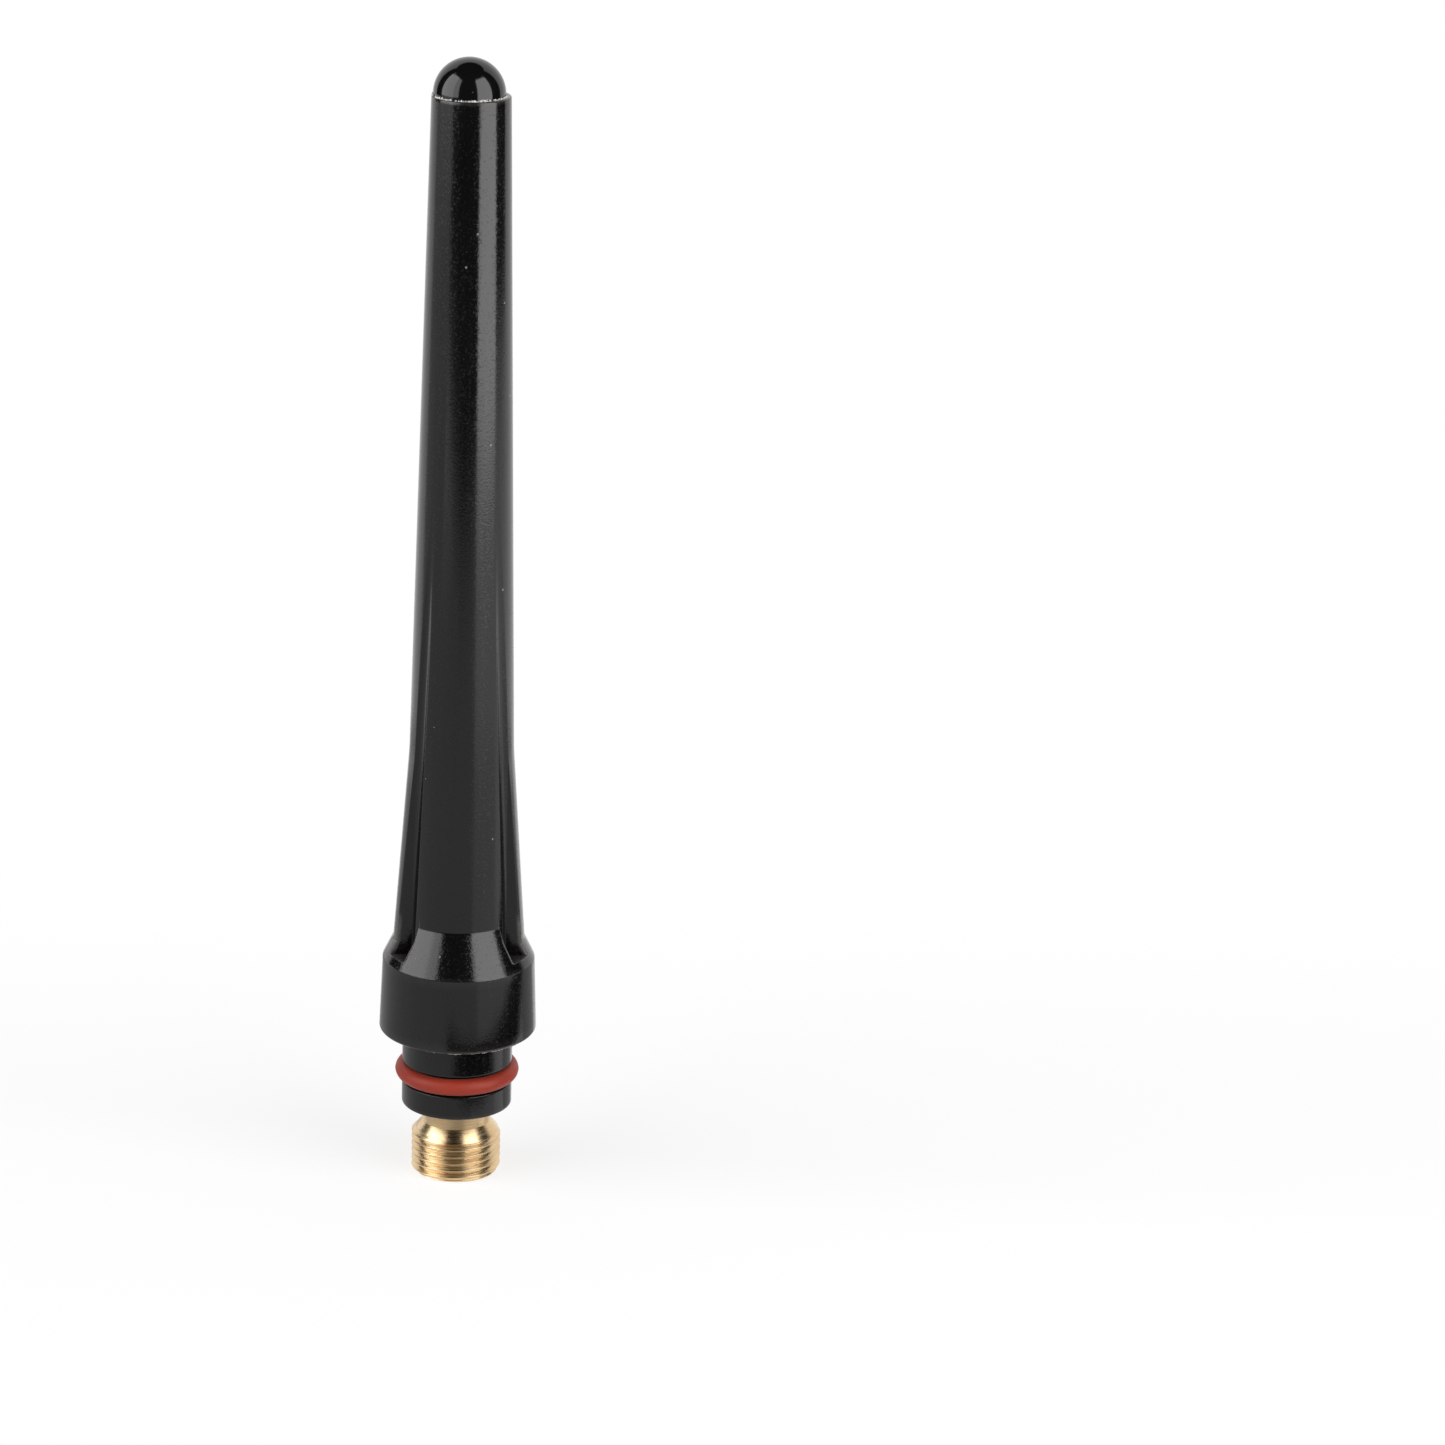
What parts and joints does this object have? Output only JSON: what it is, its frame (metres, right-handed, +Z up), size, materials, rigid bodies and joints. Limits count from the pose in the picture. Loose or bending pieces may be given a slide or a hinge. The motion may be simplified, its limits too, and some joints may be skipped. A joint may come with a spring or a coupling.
{
  "type": "long torch back cap",
  "caption": "Slim tapered back cap with grip grooves, a sealed spigot and a brass threaded end, which closes a welding torch over its spare electrode.",
  "frame": {"origin": "centre of the brass end face, the lowest face of the part as it stands", "axes": "+Z up the cap's axis to the rounded end, +X through one side rib, -Y out of the front face between the grip grooves"},
  "size_m": [0.0166, 0.0166, 0.1205],
  "materials": {
    "moulded_black": "satin moulded, with a faint grain",
    "glossy_black": "glossy moulded",
    "red_silicone": "smooth matt silicone",
    "turned_brass": "turned and bright"
  },
  "bodies": {
    "root": {"cap_body": "moulded_black", "end_plug": "glossy_black", "o_ring": "red_silicone", "threaded_insert": "turned_brass"}
  },
  "joints": []
}
